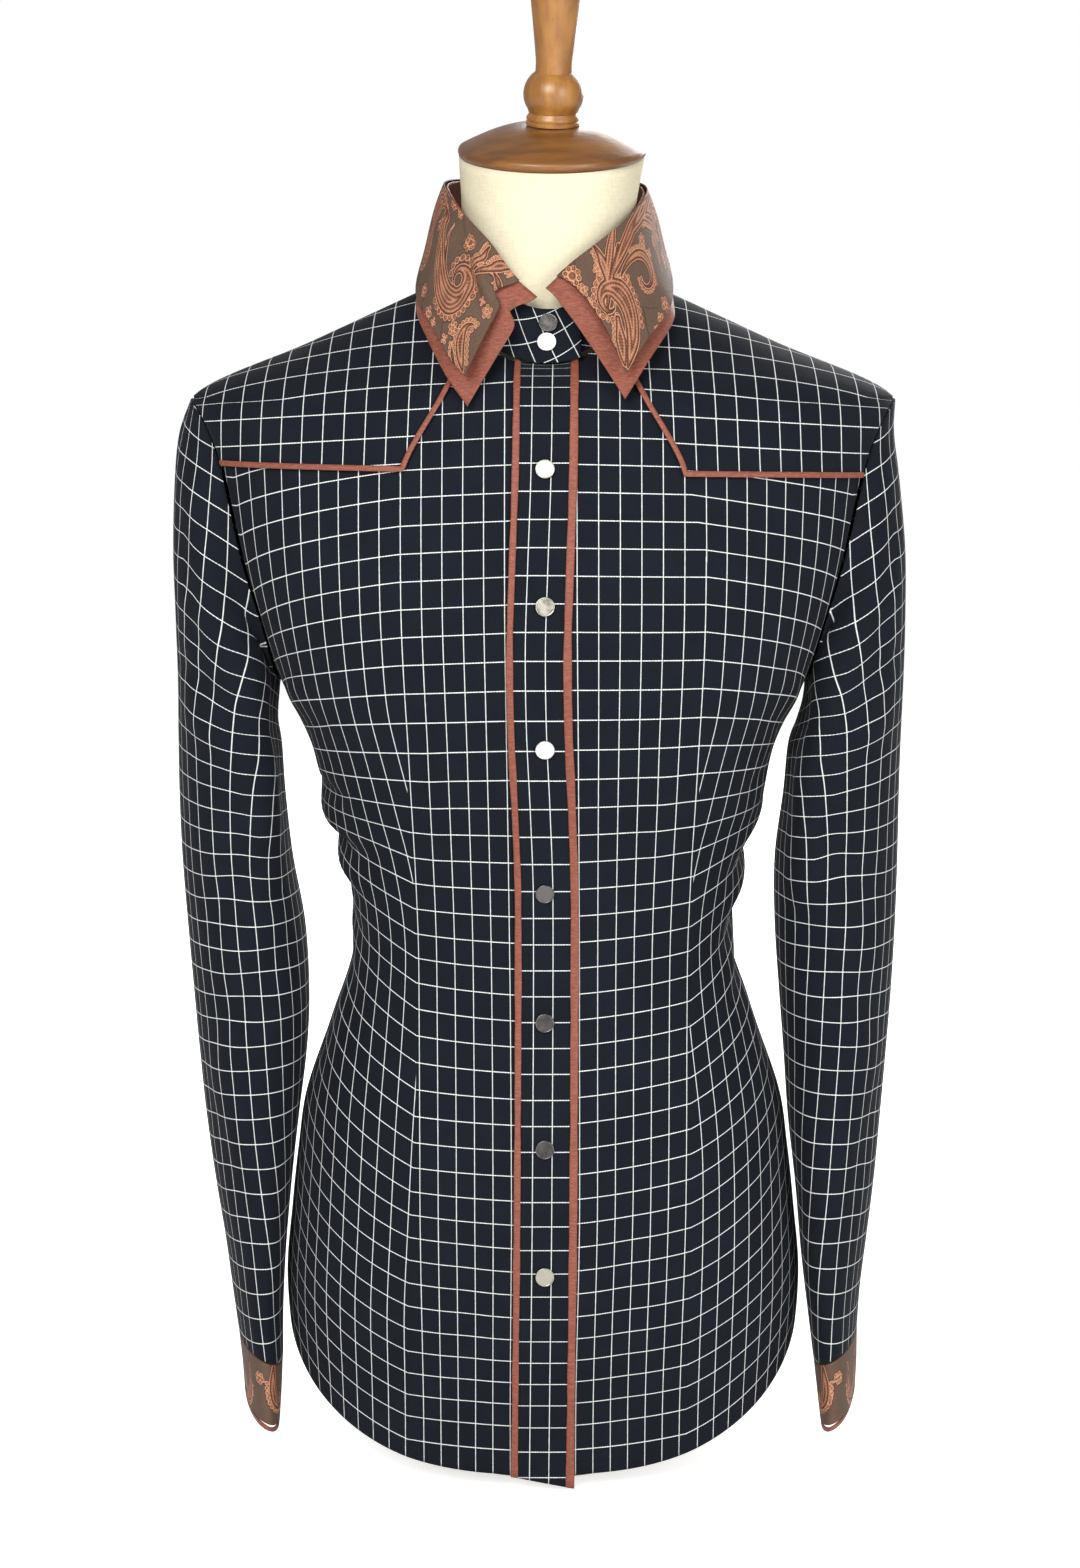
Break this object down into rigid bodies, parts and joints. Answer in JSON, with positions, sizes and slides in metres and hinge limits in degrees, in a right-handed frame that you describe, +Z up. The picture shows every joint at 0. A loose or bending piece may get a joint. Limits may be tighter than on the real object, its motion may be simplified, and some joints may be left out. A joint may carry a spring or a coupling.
{
  "type": "western snap shirt on dress form",
  "caption": "Fitted long-sleeved western snap shirt with pointed front yokes, piped placket and wide spread collar, worn on a limbless dress form with a low round stand.",
  "frame": {"origin": "centre of the stand's underside, on the surface that the form stands on", "axes": "+Z up, the shirt's front faces -Y, the wearer's left is +X"},
  "size_m": [0.4315, 0.2361, 0.8776],
  "materials": {
    "check_cotton": "navy-black twill with a thin off-white windowpane check",
    "figured_jacquard": "taupe and copper paisley jacquard, slight sheen",
    "rust_taffeta": "slubby rust taffeta, soft sheen",
    "snap_metal": "polished nickel",
    "form_linen": "cream canvas, matte",
    "form_wood": "turned and varnished"
  },
  "bodies": {
    "root": {"front_right": "check_cotton", "front_left": "check_cotton", "back": "check_cotton", "placket": "check_cotton", "yoke_right": "check_cotton", "yoke_left": "check_cotton", "sleeve_right": "check_cotton", "sleeve_left": "check_cotton", "collar_stand": "check_cotton", "collar_top": "figured_jacquard", "cuff_right": "figured_jacquard", "cuff_left": "figured_jacquard", "collar_under": "rust_taffeta", "placket_piping_right": "rust_taffeta", "placket_piping_left": "rust_taffeta", "yoke_piping_right": "rust_taffeta", "yoke_piping_left": "rust_taffeta", "cuff_trim_right": "rust_taffeta", "cuff_trim_left": "rust_taffeta", "snap_1": "snap_metal", "snap_2": "snap_metal", "snap_3": "snap_metal", "snap_4": "snap_metal", "snap_5": "snap_metal", "snap_6": "snap_metal", "snap_7": "snap_metal", "stand_snap_1": "snap_metal", "stand_snap_2": "snap_metal", "cuff_snap_right": "snap_metal", "cuff_snap_left": "snap_metal", "form_torso": "form_linen", "form_neck_cap": "form_wood", "form_finial": "form_wood", "form_stand": "form_wood"}
  },
  "joints": []
}
